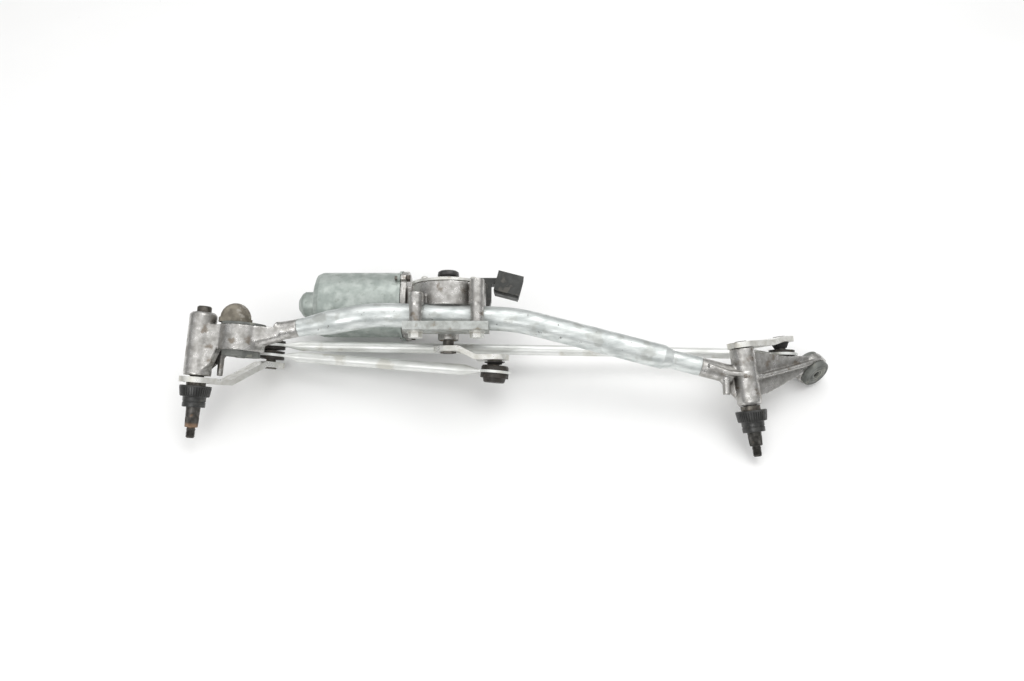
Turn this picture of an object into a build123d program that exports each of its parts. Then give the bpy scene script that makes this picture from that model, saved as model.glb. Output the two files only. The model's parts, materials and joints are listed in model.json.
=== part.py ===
from build123d import *
import math
import os

# Windshield wiper assembly: motor, tube frame, two spindle housings and the crank linkage.
# Millimetres.  It is laid out in a mechanism frame: +X from the left spindle to the right one,
# +Z along the motor's output shaft towards the wiper arms, and a depth D = -Y.
# The finished pieces are then turned to the way the assembly lies on a table, +Z up.

# ---- layout ---------------------------------------------------------------------------------
SPAN = 494.0            # between the two spindle axes, at Z = 0
LEFT_LEAN = -4.2        # degrees, the spindles lean outwards to follow the curved glass
RIGHT_LEAN = 6.9
LIE_TILT = 32.0         # degrees, how far the output shaft points below the table's level
SHAFT_X = 224.0         # output shaft
SHAFT_D = 25.5
WORM_D = 54.0           # armature axis
WORM_Z = -72.2

# ---- clearances -------------------------------------------------------------------------------
RUN = 0.05              # radial, a shaft turning in its bush
SEAT = 0.03             # a piece pushed, screwed or moulded onto another
FREE = 0.3              # between bodies that pass each other
BALL_RUN = 0.3          # radial, a ball in its socket
LOOSE_BALL_RUN = 0.8    # radial, in the long link's right socket, which also takes up the lean
BOLT_PLAY = 0.25        # radial, a bolt in its hole

# ---- levers and links ---------------------------------------------------------------------------
LEVER = 68.0            # spindle axis to ball axis
LEVER_REST = -41.4      # degrees
LEVER_SWEEP = -80.0
LEVER_T = 5.0
LEVER_ROOT_R = 15.0
RIGHT_ROOT_R = 12.5
LEVER_END_R = 13.0
LEFT_BENDS = (26, LEVER - 10)
RIGHT_BENDS = (36, LEVER - 14)
BALL_R = 7.2
BALL_HALF = 3.4         # half the height of the ball between its flats
NECK_R = 4.5            # of a ball stud
RIVET_R = 3.5
RIVET_HEAD = (6.0, 1.2)
LINK_TUBE_R = 5.0
LINK_PLATE_T = 2.4      # the tube pressed flat
LINK_PLATE_R = 14.5
LINK_FLAT_W = 14.5
LINK_RAMP = 15.0
SOCKET_R = 12.0
SOCKET_HALF = 4.0
EYE_R = 9.5             # of a socket, inside the link's eye
CRANK_T = 4.8
CRANK_ROOT_R = 13.6
CRANK_END_R = 13.4
CRANK_BENDS = (12, 28)
CRANK_SOCKET_R = 13.0
CRANK_FLANGE_R = 7.0
CRANK_NUT = (7.4, 1.4)  # radius over its corners, and thickness

# ---- levels along each spindle's own axis, and along the output shaft for the crank ---------------
LEFT_BOSS = (-57.5, 0.0)
LEFT_LEVER_Z = 1.5
LEFT_LEVER_END_Z = -19.1
LEFT_RING_Z = 9.2
LEFT_TIP = 55.9
RIGHT_BOSS = (-24.5, 27.2)
RIGHT_LEVER_Z = -30.0
RIGHT_LEVER_END_Z = -33.0
RIGHT_RING_Z = 31.6
RIGHT_TIP = 72.7
DRIVE_BALL_Z = -26.2    # on the left lever
LONG_BALL_Z = -35.5     # on the left lever
RIGHT_BALL_Z = -16.9    # on the right lever
CRANK_Z = -28.4         # back face of the crank at the shaft
CRANK_END_Z = -20.2     # back face of the crank at the ball
CRANK_BALL_Z = -4.4

# ---- spindles, bushes and caps --------------------------------------------------------------------
SPINDLE_R = 6.15
TAPER_END_R = 5.4
THREAD_R = 4.0
THREAD_LEN = 9.2
BUSH_T = 2.0
BUSH_LEN = 15.0
BUSH_INSET = 1.0
BOSS_R = 12.0
BOSS_CHAMFER = 2.5
RIGHT_BOSS_R = 11.0
RING_R = 13.75          # ribbed ring of the splash cap
RING_LEN = 9.9
COLLAR_R = 10.0
COLLAR_LEN = 9.4
LEFT_WASHER_R = 8.4
RIGHT_WASHER_R = 8.6
END_CAP = (6.3, 5.5)    # radius and height above the left boss

# ---- frame tube -------------------------------------------------------------------------------------
TUBE_R = 11.0
TUBE_WALL = 1.5
TUBE_PATH = [(90.0, -43.1), (SHAFT_X - 65.5, -55.4), (SHAFT_X + 63.4, -51.0), (SPAN - 41.0, -8.1)]
TUBE_BENDS = [130, 170]
LEFT_SWAGE = (8.25, 28.0, 22.0)     # radius, length, and length of its cone
RIGHT_SWAGE = (8.5, 34.0, 8.0)
SPIGOT_LEN = 15.0       # of a housing inside the tube
SPIGOT_GAP = 0.4        # between the tube's end and the housing's shoulder

# ---- left housing, on the left spindle's axes -------------------------------------------------------
EAR_X, EAR_D = 36.5, 2.0
EAR_R = 20.0
EAR_Z = (-47.8, -24.8)
BRIDGE_D = (-9.0, 13.0)
POST = (15.4, 13.0, 2.8)            # small stop post: place and radius
FRONT_WEB = [(6, -3), (6, -27), (18, -27), (18, -24), (13, -10)]
FRONT_WEB_D = (-10.0, 2.5)
REAR_WEB = [(4, -4), (4, -27), (24, -27), (23, -24)]
ARM_ROOT = (44, -35, 28, 24)        # X, level, depth and height of the arm to the tube
ARM_NECK = (16, 17.5, 17)           # distance from the tube's end, depth and height

# ---- right housing ----------------------------------------------------------------------------------
WEB = [(0, -21.5), (12, -21.5), (50, -19), (84, -21), (94, -16),
       (84, -9), (70, -5), (44, 6.8), (22, 16.3), (0, 20)]
RIM = [(0, -2), (14, -1.2), (46, -8.6), (80, -17), (80, -13.4), (46, -5), (14, 2.2), (0, 2)]
LEFT_RIM = [(-35, -10), (-16, -3.4), (0, -2), (0, 2), (-16, 0.8), (-35, -6)]
GUSSET = [(-30, -2), (-9, -2), (-8, 22), (-14, 16), (-24, 4)]
RIGHT_POST = (-18.7, -4.0, 3.4, 17.5)       # place, radius and end level
RIGHT_EAR = (SPAN + 78.3, 36.0, -2.8)       # centre of the rubber face
RIGHT_EAR_AXIS = (0.44, 0.57, 0.69)
RIGHT_EAR_R = 15.5
RIGHT_EAR_T = 9.0
RIGHT_EAR_SET = 5.0                 # the ear's front below the rubber face
RIGHT_WAIST_R = 10.5

# ---- rubber mounts ----------------------------------------------------------------------------------
GROMMET_R = 12.0        # where it passes through the left ear
BACK_FLANGE = (19.5, 2.2)           # radius and thickness
FRONT_FLANGE = (16.8, 5.0)
DOME_X = 28.5
DOME_RIM = (14.6, 4.0)
DOME = (13.5, 14.2)     # radius and height
FACE_R = 13.8
REAR_FLANGE = (14.2, 4.0)
SLEEVE_BORE = 3.2
SLEEVE_T = 1.4

# ---- gear case --------------------------------------------------------------------------------------
CASE_R = 34.0
CASE_Z = (-86.0, -63.8)
CHAMBER_R = 29.0
CHAMBER_END = -66.4
TUNNEL_R = 13.5
TUNNEL_END = SHAFT_X + 31.5
FLANGE_R = 32.6
FLANGE_T = 6.2
NOSE_R = 9.8
NOSE_END = -34.0
OUT_SHAFT_R = 5.2
OUT_BUSH_T = 2.2
POST_X = (SHAFT_X - 25.7, SHAFT_X + 28.7)
POST_R = 6.0
POST_D = -TUBE_R - POST_R - 0.4     # just clear of the tube
POST_BACK = (-73.0, -85.0)          # level where each post leaves the case's wall
LUG_HALF = 6.5
COVER_T = 2.3
DOME_TOP = 8.0          # of the cover, behind the case's edge
COVER_SCREWS = (-40, 40, 130, 215)  # degrees round the case
SCREW_RING = 31.4
PLUG = (10.0, 20.0)     # radius and depth D

# ---- motor ------------------------------------------------------------------------------------------
YOKE_R = 31.5
YOKE_WALL = 2.0
YOKE_X = (SHAFT_X - 129.0, SHAFT_X - 48.5)
YOKE_CAP = (12.75, 18.2)            # radius and length of the end boss
RIM_R = 33.0
RIM_T = 2.5
LUG_PCD_R = 34.0
LUG_R = 4.2
LUG_TURNS = (50.0, 210.0)           # degrees round the armature
ARM_SHAFT_R = 3.5
WORM_R = 4.5
WHEEL_T = 9.4
WHEEL_TEETH = 44
CORE_R = 20.0
MAGNET_T = 7.0
COMMUTATOR_R = 9.0

# ---- bracket ----------------------------------------------------------------------------------------
BRACKET_X = (SHAFT_X - 36.0, SHAFT_X + 39.0)
BRACKET_T = 3.0
BRACKET_GAP = 0.7       # from the tube's front to the plate
LIP_DROP = 7.4
BOLT_R = 3.0
BOLT_FLANGE = (7.4, 1.6)
BOLT_HEX = (6.4, 4.6)

# ---- connector --------------------------------------------------------------------------------------
CONNECTOR = (SHAFT_X + 56.5, 50.0, -91.0)
CONNECTOR_TILT = -14.7
CONNECTOR_BOX = (25.0, 26.0, 19.5)
CONNECTOR_WALL = 2.5
PIN_BOX = (14.0, 1.2, 2.4)


def at(x, depth, z):
    """A place in the mechanism frame, with its depth counted away from the viewer."""
    return Pos(x, -depth, z)


def disc(radius, z0, z1):
    """A solid cylinder about Z between two levels."""
    return Pos(0, 0, (z0 + z1) / 2) * Cylinder(radius, z1 - z0)


def ring(outer, inner, z0, z1):
    """A hollow cylinder about Z between two levels."""
    return disc(outer, z0, z1) - disc(inner, z0 - 1, z1 + 1)


def turned(profile):
    """A solid of revolution about Z from (radius, level) corners."""
    face = Plane.XZ * make_face(Polyline(*profile, close=True))
    return revolve(face, Axis.Z)


def block(x, depth, z):
    """A box between two values on each axis."""
    size = [b - a for a, b in (x, depth, z)]
    return at(sum(x) / 2, sum(depth) / 2, sum(z) / 2) * Box(*size)


def upright(points, depth0, depth1):
    """A plate with an outline in X and Z, between two depths."""
    face = Plane.XZ * make_face(Polyline(*points, close=True))
    return Pos(0, -depth0, 0) * extrude(face, amount=depth1 - depth0, dir=(0, -1, 0))


def hexagon(radius, z0, z1):
    return Pos(0, 0, z0) * extrude(RegularPolygon(radius, 6), amount=z1 - z0)


def along_x(solid, x=0):
    """A solid made about Z, laid on the armature's axis with its Z along +X."""
    return at(x, WORM_D, WORM_Z) * Rot(0, 90, 0) * solid


def tapered_outline(length, r0, r1):
    """Two circles and the straight tangents that join them."""
    a = math.acos((r0 - r1) / length)
    ca, sa = math.cos(a), math.sin(a)
    corners = [(r0 * ca, r0 * sa), (length + r1 * ca, r1 * sa),
               (length + r1 * ca, -r1 * sa), (r0 * ca, -r0 * sa)]
    return Circle(r0) + Pos(length, 0) * Circle(r1) + make_face(Polyline(*corners, close=True))


def joggled_arm(length, radii, thick, levels, bends):
    """A flat bar with round ends and a step in its level between two bends."""
    (r0, r1), (z0, z1), (b0, b1) = radii, levels, bends
    shift = thick * math.tan(math.atan2(z1 - z0, b1 - b0) / 2)
    low = [(-r0 - 1, z0), (b0, z0), (b1, z1), (length + r1 + 1, z1)]
    high = [(length + r1 + 1, z1 + thick), (b1 - shift, z1 + thick),
            (b0 - shift, z0 + thick), (-r0 - 1, z0 + thick)]
    side = Plane.XZ * make_face(Polyline(*(low + high), close=True))
    bar = extrude(side, amount=r0 + r1, both=True)
    plan = extrude(tapered_outline(length, r0, r1), amount=abs(z1 - z0) + thick + 2)
    return bar & Pos(0, 0, min(z0, z1) - 1) * plan


def unit(v):
    size = math.sqrt(sum(c * c for c in v))
    return tuple(c / size for c in v)


# ---- where the linkage's balls are, at rest and at the far end of the sweep --------------------------
LEFT = Rot(0, LEFT_LEAN, 0)
RIGHT = Pos(SPAN, 0, 0) * Rot(0, RIGHT_LEAN, 0)


def ball(origin_x, lean, angle, level):
    """A lever's ball centre for one lever angle, in the mechanism frame."""
    x = LEVER * math.cos(math.radians(angle))
    y = LEVER * math.sin(math.radians(angle))
    c, s = math.cos(math.radians(lean)), math.sin(math.radians(lean))
    return (origin_x + x * c + level * s, y, -x * s + level * c)


def left_ball(level, turn):
    return ball(0, LEFT_LEAN, LEVER_REST + turn, level)


def right_ball(turn):
    return ball(SPAN, RIGHT_LEAN, LEVER_REST + turn, RIGHT_BALL_Z)


def right_sweep():
    """How far the right lever turns, so that the long link keeps its length at the far end."""
    far = left_ball(LONG_BALL_Z, LEVER_SWEEP)
    length = math.dist(left_ball(LONG_BALL_Z, 0), right_ball(0))
    low, high = LEVER_SWEEP - 15, LEVER_SWEEP + 15
    while high - low > 1e-9:
        middle = (low + high) / 2
        if math.dist(far, right_ball(middle)) < length:
            low = middle
        else:
            high = middle
    return low


DRIVE_NEAR = left_ball(DRIVE_BALL_Z, 0)
DRIVE_FAR = left_ball(DRIVE_BALL_Z, LEVER_SWEEP)
LONG_NEAR = left_ball(LONG_BALL_Z, 0)
LONG_FAR = left_ball(LONG_BALL_Z, LEVER_SWEEP)
RIGHT_SWEEP = right_sweep()
RIGHT_NEAR = right_ball(0)
RIGHT_FAR = right_ball(RIGHT_SWEEP)

# The crank points straight away from the left lever's ball at rest, and its throw is the one for
# which half a turn brings the lever to the far end of its sweep.
CRANK_CENTRE = (SHAFT_X, -SHAFT_D, CRANK_BALL_Z)
CRANK_ANGLE = math.degrees(math.atan2(CRANK_CENTRE[1] - DRIVE_NEAR[1], CRANK_CENTRE[0] - DRIVE_NEAR[0]))
CRANK_DIR = (math.cos(math.radians(CRANK_ANGLE)), math.sin(math.radians(CRANK_ANGLE)))
TO_NEAR = [CRANK_CENTRE[i] - DRIVE_NEAR[i] for i in range(3)]
TO_FAR = [CRANK_CENTRE[i] - DRIVE_FAR[i] for i in range(3)]
CRANK_THROW = (sum(c * c for c in TO_FAR) - sum(c * c for c in TO_NEAR)) / (
    2 * sum(CRANK_DIR[i] * (TO_NEAR[i] + TO_FAR[i]) for i in range(2)))
CRANK_NEAR = (SHAFT_X + CRANK_THROW * CRANK_DIR[0], -SHAFT_D + CRANK_THROW * CRANK_DIR[1], CRANK_BALL_Z)
CRANK_FAR = (SHAFT_X - CRANK_THROW * CRANK_DIR[0], -SHAFT_D - CRANK_THROW * CRANK_DIR[1], CRANK_BALL_Z)
DRIVE = (DRIVE_NEAR, CRANK_NEAR)
LONG = (LONG_NEAR, RIGHT_NEAR)
SHAFT = at(SHAFT_X, SHAFT_D, 0)
LEFT_LEVER_END = LEFT * Rot(0, 0, LEVER_REST) * Pos(LEVER, 0, 0)
RIGHT_LEVER_END = RIGHT * Rot(0, 0, LEVER_REST) * Pos(LEVER, 0, 0)


# ---- frame tube -------------------------------------------------------------------------------------
PATH = [Vector(x, 0, z) for x, z in TUBE_PATH]
LEFT_AWAY = (PATH[0] - PATH[1]).normalized()
RIGHT_AWAY = (PATH[-1] - PATH[-2]).normalized()


def tube_level(x):
    """Level of the tube's axis on its middle run."""
    (x1, z1), (x2, z2) = TUBE_PATH[1:3]
    return z1 + (z2 - z1) * (x - x1) / (x2 - x1)


def tube_run(radius):
    """A long cylinder on the tube's middle run."""
    middle = sum(POST_X) / 2
    slope = math.degrees(math.atan2(tube_level(1) - tube_level(0), 1))
    return Pos(middle, 0, tube_level(middle)) * Rot(0, 90 - slope, 0) * Cylinder(radius, 160)


def bracket_level():
    """Back face of the bracket plate, just in front of the tube."""
    return tube_level(sum(POST_X) / 2) + TUBE_R + BRACKET_GAP


def tube_shape(shrink, extra):
    """The tube's swept middle and its two swaged ends, made smaller by the wall for the bore."""
    start, stop = PATH[0] - LEFT_AWAY * LEFT_SWAGE[1], PATH[-1] - RIGHT_AWAY * RIGHT_SWAGE[1]
    path = FilletPolyline(start, PATH[1], PATH[2], stop, radius=TUBE_BENDS)
    body = sweep(Plane(origin=start, z_dir=LEFT_AWAY) * Circle(TUBE_R - shrink), path=path)
    for point, away, swage in ((start, LEFT_AWAY, LEFT_SWAGE), (stop, RIGHT_AWAY, RIGHT_SWAGE)):
        radius, run, cone = swage
        small = radius - shrink
        end = turned([(0, 0), (TUBE_R - shrink, 0), (small, cone), (small, run + extra), (0, run + extra)])
        body += Plane(origin=point, z_dir=away) * end
    return body


def frame_tube():
    """Steel tube with two bends, both ends swaged down over the housings' spigots."""
    return tube_shape(0, 0) - tube_shape(TUBE_WALL, 1)


def spigot(point, away, swage):
    """The shoulder and spigot of a housing, on the axis of the tube's end, from its (radius, reach)."""
    outside, reach = swage
    place = Plane(origin=point + away * SPIGOT_GAP, z_dir=away)
    return place * (disc(outside, 0, reach) + disc(outside - TUBE_WALL - SEAT, -SPIGOT_LEN, 1))


# ---- housings ---------------------------------------------------------------------------------------
BUSH_R = SPINDLE_R + RUN + BUSH_T


def bushes(boss, place):
    """Two sintered bushes, one in each end of a boss."""
    back = boss[0] + 2 * BUSH_INSET
    front = boss[1] - BUSH_INSET - BUSH_LEN
    return [place * ring(BUSH_R, SPINDLE_R + RUN, z, z + BUSH_LEN) for z in (back, front)]


def boss_bore(boss, place):
    return place * disc(BUSH_R + SEAT, boss[0] - 1, boss[1] + 1)


def left_housing():
    """Die-cast: spindle boss, ear for the rubber mount, webs, and an arm with a spigot for the tube."""
    b0, b1 = LEFT_BOSS
    back, front = EAR_Z
    chamfered = BOSS_R - BOSS_CHAMFER
    body = turned([(0, b0), (chamfered, b0), (BOSS_R, b0 + BOSS_CHAMFER), (BOSS_R, b1), (0, b1)])
    body += at(EAR_X, EAR_D, 0) * disc(EAR_R, back, front)
    body += block((0, EAR_X), BRIDGE_D, (back + 1, front - 1))
    body += upright(FRONT_WEB, *FRONT_WEB_D)
    body += upright(REAR_WEB, BRIDGE_D[1], BRIDGE_D[1] + 3)
    body += at(*POST[:2], 0) * disc(POST[2], front - 1, b1 - 1.5)
    x, level, deep, tall = ARM_ROOT
    root = Plane(origin=(x, 0, level), z_dir=(-1, 0, 0), x_dir=(0, 1, 0))
    off, neck_deep, neck_tall = ARM_NECK
    neck = Plane(origin=PATH[0] + LEFT_AWAY * off, z_dir=LEFT_AWAY, x_dir=(0, 1, 0))
    arm = loft([root * RectangleRounded(deep, tall, 6), neck * RectangleRounded(neck_deep, neck_tall, 5)])
    body = LEFT * body + arm + spigot(PATH[0], LEFT_AWAY, (LEFT_SWAGE[0], off + 2))
    ear = at(EAR_X, EAR_D, 0)
    body -= LEFT * ear * disc(GROMMET_R, back - 6, front + 6)
    body -= LEFT * ear * ring(EAR_R + 12, 0.1, back - 12, back)
    return body - boss_bore(LEFT_BOSS, LEFT) + LEFT * turned_boss_top(b0)


def turned_boss_top(b0):
    """The boss's back end, which stands proud of the ear's level."""
    seat = BUSH_R + SEAT
    chamfered = BOSS_R - BOSS_CHAMFER
    end = EAR_Z[0]
    return turned([(seat, b0), (chamfered, b0), (BOSS_R, b0 + BOSS_CHAMFER), (BOSS_R, end), (seat, end)])


def right_ear_plane():
    ex, ed, ez = RIGHT_EAR
    return Plane(origin=(ex, -ed, ez), z_dir=RIGHT_EAR_AXIS)


def right_housing():
    """Die-cast: spindle boss, curved rim, webs, spigot and the outer ear."""
    b0, b1 = RIGHT_BOSS
    r = RIGHT_BOSS_R
    body = RIGHT * turned([(0, b0), (r, b0), (r, b1 - 3), (r - 1.5, b1), (0, b1)])
    body += spigot(PATH[-1], RIGHT_AWAY, (RIGHT_SWAGE[0], 30))
    ex, ed, _ = RIGHT_EAR
    arm = Pos(SPAN, 0, 0) * Rot(0, 0, -math.degrees(math.atan2(ed, ex - SPAN)))
    body += arm * upright(WEB, -2.5, 2.5)
    body += arm * upright(RIM, -9, 4)
    body += Pos(SPAN, 0, 0) * (upright(LEFT_RIM, -11.5, 8) + upright(GUSSET, -1.5, 3.5))
    x, depth, radius, end = RIGHT_POST
    body += at(SPAN + x, depth, 0) * disc(radius, -4, end)
    ear = right_ear_plane()
    back = -RIGHT_EAR_SET - RIGHT_EAR_T
    body -= ear * (disc(RIGHT_EAR_R + 3, -RIGHT_EAR_SET, 20) + disc(RIGHT_EAR_R, back - 12, back))
    body += ear * disc(RIGHT_EAR_R, back, -RIGHT_EAR_SET)
    body -= ear * disc(RIGHT_WAIST_R, back - 1, 1)
    return body - boss_bore(RIGHT_BOSS, RIGHT)


def left_end_cap():
    """Dark plug in the back of the left boss."""
    z = LEFT_BOSS[0]
    r, tall = END_CAP
    head = [(0, z - tall), (r - 1, z - tall), (r, z - tall + 1), (r, z - SEAT)]
    return LEFT * turned(head + [(BUSH_R, z - SEAT), (BUSH_R, z + 1.2), (0, z + 1.2)])


# ---- rubber mounts ----------------------------------------------------------------------------------
def left_grommet():
    """Rubber mount in the left ear, with a flange on each side."""
    back, front = EAR_Z
    body = disc(GROMMET_R - SEAT, back - 1, front + 1)
    body += disc(BACK_FLANGE[0], back - BACK_FLANGE[1], back - SEAT)
    body += disc(FRONT_FLANGE[0], front + SEAT, front + FRONT_FLANGE[1])
    body -= disc(SLEEVE_BORE + SLEEVE_T + SEAT, back - 5, front + 9)
    body -= Pos(-EAR_X, EAR_D, 0) * disc(BOSS_R + FREE, LEFT_BOSS[0] - 10, LEFT_BOSS[1] + 5)
    return LEFT * at(EAR_X, EAR_D, 0) * body


def left_dome():
    """Closed rubber buffer on the back of the left mount."""
    z = EAR_Z[0] - BACK_FLANGE[1] - SEAT
    rim_r, rim = DOME_RIM
    r, tall = DOME
    steps = [math.radians(a) for a in (75, 60, 45, 30, 15)]
    crown = [(r * math.cos(a), z - rim - tall * math.sin(a)) for a in steps]
    body = turned([(0, z - rim - tall)] + crown + [(r, z - rim), (rim_r, z - rim), (rim_r, z), (0, z)])
    return LEFT * at(DOME_X, EAR_D, 0) * body


def left_sleeve():
    back, front = EAR_Z
    low, high = back - BACK_FLANGE[1] + 0.2, front + FRONT_FLANGE[1] + 1
    return LEFT * at(EAR_X, EAR_D, 0) * ring(SLEEVE_BORE + SLEEVE_T, SLEEVE_BORE, low, high)


def right_grommet():
    """Rubber mount in the right ear: round face, waist and a wider flange behind."""
    back = -RIGHT_EAR_SET - RIGHT_EAR_T - SEAT
    waist = RIGHT_WAIST_R - SEAT
    flange, thick = REAR_FLANGE
    body = turned([(0, 0), (FACE_R - 1, 0), (FACE_R, -1), (FACE_R, -RIGHT_EAR_SET + SEAT),
                   (waist, -RIGHT_EAR_SET + SEAT), (waist, back), (flange, back), (flange, back - thick),
                   (0, back - thick)])
    return right_ear_plane() * (body - disc(SLEEVE_BORE + SLEEVE_T + SEAT, back - thick - 1, 1))


def right_sleeve():
    back = -RIGHT_EAR_SET - RIGHT_EAR_T - REAR_FLANGE[1]
    return right_ear_plane() * ring(SLEEVE_BORE + SLEEVE_T, SLEEVE_BORE, back, -0.6)


# ---- spindles ---------------------------------------------------------------------------------------
def spindle(back, ring_z, tip, place):
    """Steel spindle: journal, knurled taper for the arm and a threaded end."""
    taper = ring_z + RING_LEN + COLLAR_LEN
    thread = tip - THREAD_LEN
    r, t = SPINDLE_R, THREAD_R
    body = [(0, back), (r - 1, back), (r, back + 1), (r, taper + 0.5), (TAPER_END_R, thread)]
    body += [(t - 0.5, thread), (t - 0.5, thread + 0.8), (t, thread + 1.2)]
    return place * turned(body + [(t, tip - 1), (t - 1, tip), (0, tip)])


def splash_cap(ring_z, place):
    """Black cap pushed onto the spindle: a ribbed ring and a narrower collar."""
    top, end = ring_z + RING_LEN, ring_z + RING_LEN + COLLAR_LEN
    body = turned([(0, ring_z), (RING_R, ring_z), (RING_R, top - 1), (RING_R - 1, top), (COLLAR_R, top),
                   (COLLAR_R, end - 0.8), (COLLAR_R - 0.8, end), (0, end)])
    return place * (body - disc(SPINDLE_R + SEAT, ring_z - 1, end + 1))


def spindle_lever(levels, root_r, place, bends):
    """Joggled steel lever pressed onto a spindle."""
    bar = joggled_arm(LEVER, (root_r, LEVER_END_R), LEVER_T, levels, bends)
    bar -= disc(SPINDLE_R + SEAT, levels[0] - 1, levels[0] + LEVER_T + 1)
    bar -= Pos(LEVER, 0, 0) * disc(RIVET_R + SEAT, levels[1] - 1, levels[1] + LEVER_T + 1)
    return place * Rot(0, 0, LEVER_REST) * bar


def washer(place, z0, z1, outer):
    return place * ring(outer, SPINDLE_R + SEAT, z0, z1)


def zone(level):
    """Corners of a ball's turned outline between its two flats, from the higher flat down."""
    steps = [BALL_HALF * k / 4 for k in range(4, -5, -1)]
    return [(math.sqrt(BALL_R ** 2 - s * s), level + s) for s in steps]


def left_stud():
    """Double ball stud riveted in the left lever: the drive link's ball, then the long link's."""
    head, high = RIVET_HEAD
    low = LEFT_LEVER_END_Z
    top = low + LEVER_T
    body = [(0, top + high), (head - 0.6, top + high), (head, top + SEAT), (RIVET_R, top + SEAT),
            (RIVET_R, low - SEAT), (NECK_R, low - SEAT), (NECK_R, DRIVE_BALL_Z + BALL_HALF)]
    body += zone(DRIVE_BALL_Z) + [(NECK_R, DRIVE_BALL_Z - BALL_HALF), (NECK_R, LONG_BALL_Z + BALL_HALF)]
    return LEFT_LEVER_END * turned(body + zone(LONG_BALL_Z) + [(0, LONG_BALL_Z - BALL_HALF)])


def right_stud():
    """Ball stud riveted in the right lever, pointing towards the arms."""
    head, high = RIVET_HEAD
    low = RIGHT_LEVER_END_Z
    top = low + LEVER_T
    body = [(0, RIGHT_BALL_Z + BALL_HALF)] + zone(RIGHT_BALL_Z)
    body += [(NECK_R, RIGHT_BALL_Z - BALL_HALF), (NECK_R, top + SEAT), (RIVET_R, top + SEAT),
             (RIVET_R, low - SEAT), (head, low - SEAT), (head - 0.6, low - high), (0, low - high)]
    return RIGHT_LEVER_END * turned(body)


def right_boot():
    """Rubber boot round the right stud's neck."""
    low, high = RIGHT_LEVER_END_Z + LEVER_T + 2 * SEAT, RIGHT_BALL_Z - SOCKET_HALF - 1.6
    body = turned([(0, low), (8.4, low), (7.8, low + 1), (5.6, high), (0, high)])
    return RIGHT_LEVER_END * (body - disc(NECK_R + SEAT, low - 1, high + 1))


# ---- links ------------------------------------------------------------------------------------------
def link_plane(start, stop):
    """A frame at a link's first ball: X along the link, Z as near the output shaft as it can be."""
    x, y, z = unit([b - a for a, b in zip(start, stop)])
    return Plane(origin=start, x_dir=(x, y, z), z_dir=unit([-x * z, -y * z, 1 - z * z]))


def link_rod(start, stop):
    """Steel tube with both ends pressed flat and pierced for the sockets."""
    length = math.dist(start, stop)
    flat = EYE_R + 4
    body = Pos(length / 2, 0, 0) * Rot(0, 90, 0) * Cylinder(LINK_TUBE_R, length - 2 * (flat + LINK_RAMP))
    for x, way in ((0, 1), (length, -1)):
        plate = Circle(LINK_PLATE_R) + Pos(way * flat / 2, 0) * Rectangle(flat, LINK_FLAT_W)
        near = Plane(origin=(x + way * flat, 0, 0), z_dir=(way, 0, 0), x_dir=(0, 1, 0))
        far = Plane(origin=(x + way * (flat + LINK_RAMP), 0, 0), z_dir=(way, 0, 0), x_dir=(0, 1, 0))
        tube_end = SlotOverall(LINK_TUBE_R * 2.002, LINK_TUBE_R * 2)
        body += Pos(x, 0, -LINK_PLATE_T / 2) * extrude(plate, amount=LINK_PLATE_T)
        body += loft([near * SlotOverall(LINK_FLAT_W, LINK_PLATE_T), far * tube_end])
        body -= Pos(x, 0, 0) * disc(EYE_R + SEAT, -LINK_PLATE_T, LINK_PLATE_T)
    return link_plane(start, stop) * body


def socket(start, stop, where, pocket):
    """Plastic socket snapped into a link's eye: two flanges and a ball seat."""
    half = LINK_PLATE_T / 2 + SEAT
    body = disc(SOCKET_R, half, SOCKET_HALF) + disc(EYE_R, -half, half)
    body += disc(SOCKET_R, -SOCKET_HALF, -half)
    return link_plane(start, stop) * Pos(where, 0, 0) * (body - Sphere(pocket))


# ---- crank ------------------------------------------------------------------------------------------
STUD_BASE = CRANK_END_Z + CRANK_T + FREE


def crank_arm():
    """Joggled steel crank on the output shaft."""
    radii = (CRANK_ROOT_R, CRANK_END_R)
    bar = joggled_arm(CRANK_THROW, radii, CRANK_T, (CRANK_Z, CRANK_END_Z), CRANK_BENDS)
    bar -= disc(OUT_SHAFT_R + SEAT, CRANK_Z - 1, CRANK_Z + CRANK_T + 1)
    return SHAFT * Rot(0, 0, CRANK_ANGLE) * bar


def crank_stud():
    """Ball stud of the crank end: flange, neck and ball."""
    z, low = CRANK_BALL_Z, STUD_BASE
    body = [(0, z + BALL_HALF)] + zone(z) + [(NECK_R, z - BALL_HALF), (NECK_R, low + 1.2),
                                            (CRANK_FLANGE_R, low + 1.2), (CRANK_FLANGE_R, low), (0, low)]
    return Pos(*CRANK_NEAR[:2], 0) * turned(body)


def crank_boot():
    """Bellows boot between the crank's stud and its socket."""
    low, high = STUD_BASE + 1.2 + SEAT, CRANK_BALL_Z - 7
    middle = (low + high) / 2
    folds = [(9.4, low), (9.4, low + 0.7), (6.6, middle), (7.4, middle + 0.4), (6.6, high)]
    body = turned([(0, low)] + folds + [(0, high)]) - disc(NECK_R + SEAT, low - 1, high + 1)
    return Pos(*CRANK_NEAR[:2], 0) * body


def crank_socket():
    """Large plastic socket at the crank end, with a domed cap."""
    half = LINK_PLATE_T / 2 + SEAT
    r = CRANK_SOCKET_R
    back = [(0, -5.9), (r - 1.4, -5.9), (r - 0.4, -4.6), (r - 0.2, -half), (EYE_R, -half), (EYE_R, half)]
    body = turned(back + [(r, half), (r, 5.6), (r - 2.4, 5.9), (r - 3.4, 9.4), (r - 4.4, 9.9), (0, 9.9)])
    body -= Sphere(BALL_R + SEAT) + disc(NECK_R + 1.4, -8, 0)
    return link_plane(*DRIVE) * Pos(math.dist(*DRIVE), 0, 0) * body


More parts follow.
